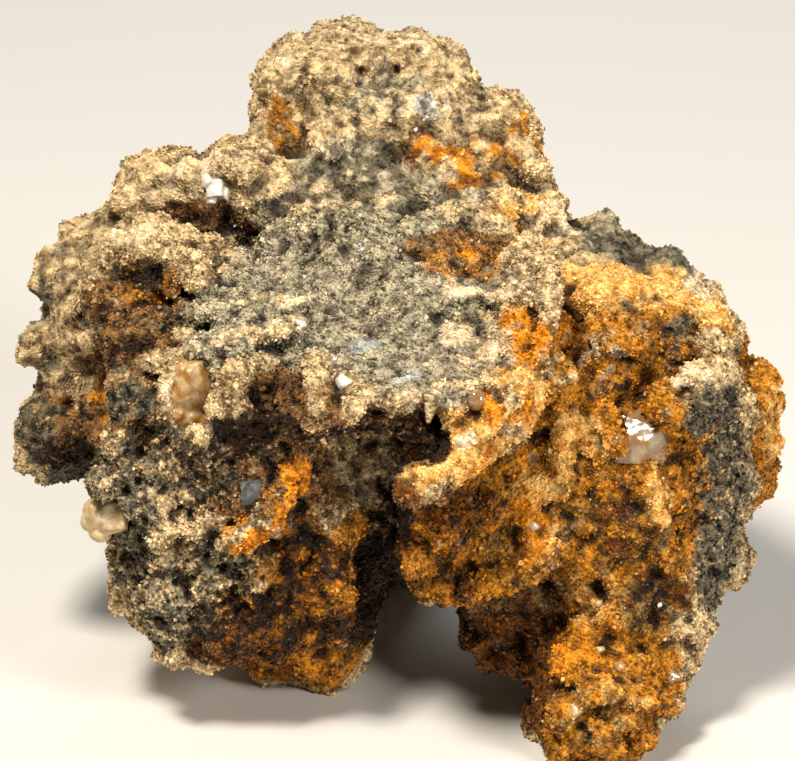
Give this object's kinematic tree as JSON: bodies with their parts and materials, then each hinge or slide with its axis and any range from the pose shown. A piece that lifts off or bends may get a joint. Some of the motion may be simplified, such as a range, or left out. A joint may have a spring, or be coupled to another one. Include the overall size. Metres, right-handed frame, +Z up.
{
  "type": "fossil coral druzy specimen",
  "caption": "Rough, many-lobed fossil coral rock on worn feet, with a sugary druzy skin and a few clear calcite crystals set in it.",
  "frame": {"origin": "on the standing plane, under the middle of the specimen's bounding box", "axes": "+Z up, -Y the front as pictured, +X to the right seen from the front, along the specimen's longest extent"},
  "size_m": [0.1315, 0.0996, 0.1046],
  "materials": {
    "coral_rock": "rough, granular and porous, sugary druzy grains with small sparkles; iron-stained orange and grey-green",
    "clear_calcite": "clear to cloudy calcite, glassy cleavage faces",
    "honey_calcite": "honey-coloured translucent calcite, worn glassy faces",
    "white_calcite": "milky white calcite, bright cleavage faces",
    "grey_calcite": "grey cloudy calcite, rounded by wear"
  },
  "bodies": {
    "root": {"coral_rock": "coral_rock", "calcite_right": "clear_calcite", "calcite_brow": "honey_calcite", "calcite_fingertip": "honey_calcite", "calcite_ridge": "white_calcite", "calcite_left": "grey_calcite"}
  },
  "joints": []
}
